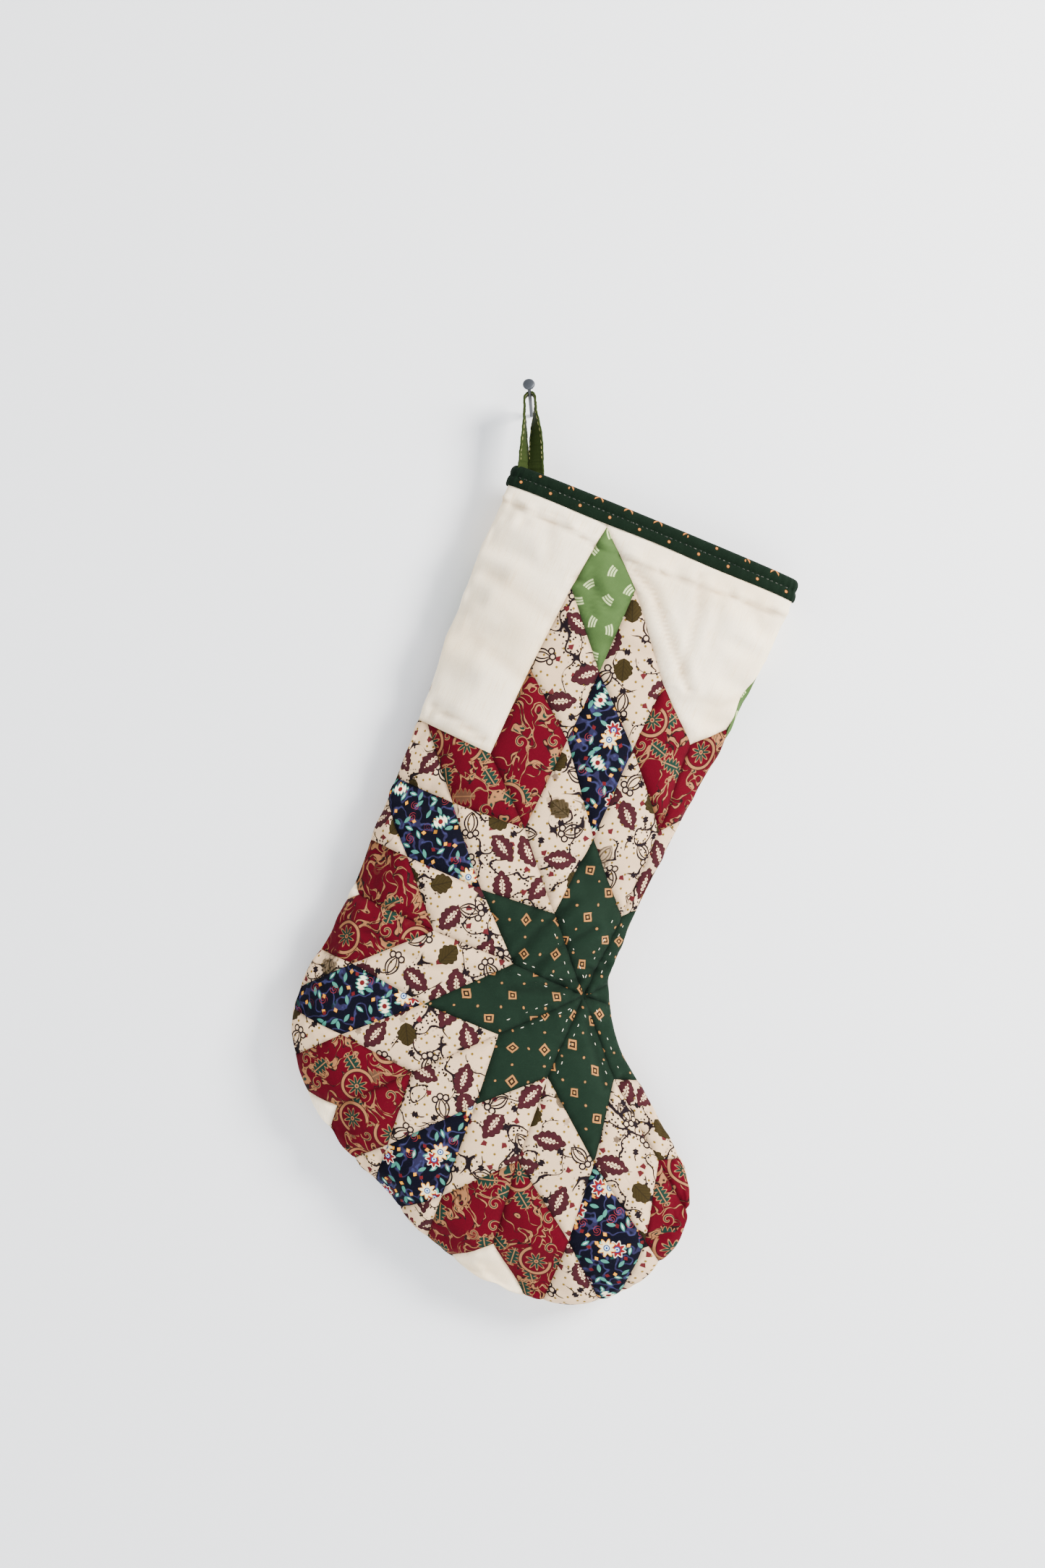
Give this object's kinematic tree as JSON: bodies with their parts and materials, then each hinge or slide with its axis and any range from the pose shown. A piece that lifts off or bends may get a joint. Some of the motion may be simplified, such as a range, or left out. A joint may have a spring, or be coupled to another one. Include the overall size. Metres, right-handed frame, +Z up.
{
  "type": "hanging patchwork stocking",
  "caption": "Quilted patchwork stocking with a bound open mouth, hung from a nail or hook by a sewn cloth loop.",
  "frame": {"origin": "underside of the loop's top bend, where it rests on the nail or hook", "axes": "+Z up, front of the stocking towards -Y, toe towards +X"},
  "size_m": [0.2717, 0.0246, 0.4901],
  "materials": {
    "loop_cloth": "olive cotton tape, topstitched",
    "binding_print": "dark green printed cotton, tan dots",
    "dark_thread": "matt sewing thread",
    "pale_thread": "matt quilting thread",
    "wadding": "loose cotton wadding",
    "lining_cloth": "plain unbleached cotton",
    "green_print": "dark green printed cotton, tan squares and dots",
    "cream_print": "cream floral printed cotton",
    "red_print": "crimson printed cotton, tan scrolls",
    "navy_print": "navy floral printed cotton",
    "light_green_print": "light green printed cotton",
    "muslin": "unbleached muslin, plain weave"
  },
  "bodies": {
    "loop": {"loop": "loop_cloth"},
    "loop_neck": {"loop_neck": "loop_cloth"},
    "stocking": {"loop_tails": "loop_cloth", "binding": "binding_print", "binding_thread": "dark_thread", "quilting_thread": "pale_thread", "front_batting": "wadding", "back_batting": "wadding", "front_lining": "lining_cloth", "back_lining": "lining_cloth", "top_green": "green_print", "top_cream_1": "cream_print", "top_cream_2": "cream_print", "top_red_1": "red_print", "top_navy": "navy_print", "top_red_2": "red_print", "top_cream_3": "cream_print", "top_cream_4": "cream_print", "top_tip": "light_green_print", "upper_left_green": "green_print", "upper_left_cream_1": "cream_print", "upper_left_cream_2": "cream_print", "upper_left_red_1": "red_print", "upper_left_navy": "navy_print", "upper_left_red_2": "red_print", "left_green": "green_print", "left_cream_1": "cream_print", "left_cream_2": "cream_print", "left_red_1": "red_print", "left_navy": "navy_print", "left_red_2": "red_print", "lower_left_green": "green_print", "lower_left_cream_1": "cream_print", "lower_left_cream_2": "cream_print", "lower_left_red_1": "red_print", "lower_left_navy": "navy_print", "lower_left_red_2": "red_print", "bottom_green": "green_print", "bottom_cream_1": "cream_print", "bottom_cream_2": "cream_print", "bottom_red_1": "red_print", "bottom_navy": "navy_print", "bottom_red_2": "red_print", "lower_right_green": "green_print", "lower_right_cream_1": "cream_print", "lower_right_red_1": "red_print", "right_green": "green_print", "upper_right_green": "green_print", "upper_right_cream_2": "cream_print", "upper_right_red_2": "red_print", "edge_creams": "cream_print", "muslin_top_left": "muslin", "muslin_top_right": "muslin", "muslin_corners": "muslin", "back_green": "green_print", "back_cream": "cream_print", "back_red": "red_print", "back_navy": "navy_print", "back_tips": "light_green_print", "back_muslin": "muslin"}
  },
  "joints": [
    {"name": "lean", "type": "hinge", "parent": "loop", "child": "loop_neck", "pos_m": [0.0005, 0, -0.034], "axis": [0, 1, 0], "range_deg": [-20, 20]},
    {"name": "fold", "type": "hinge", "parent": "loop_neck", "child": "stocking", "pos_m": [0.0005, 0, -0.0386], "axis": [1, 0, 0], "range_deg": [-75, 0]}
  ]
}
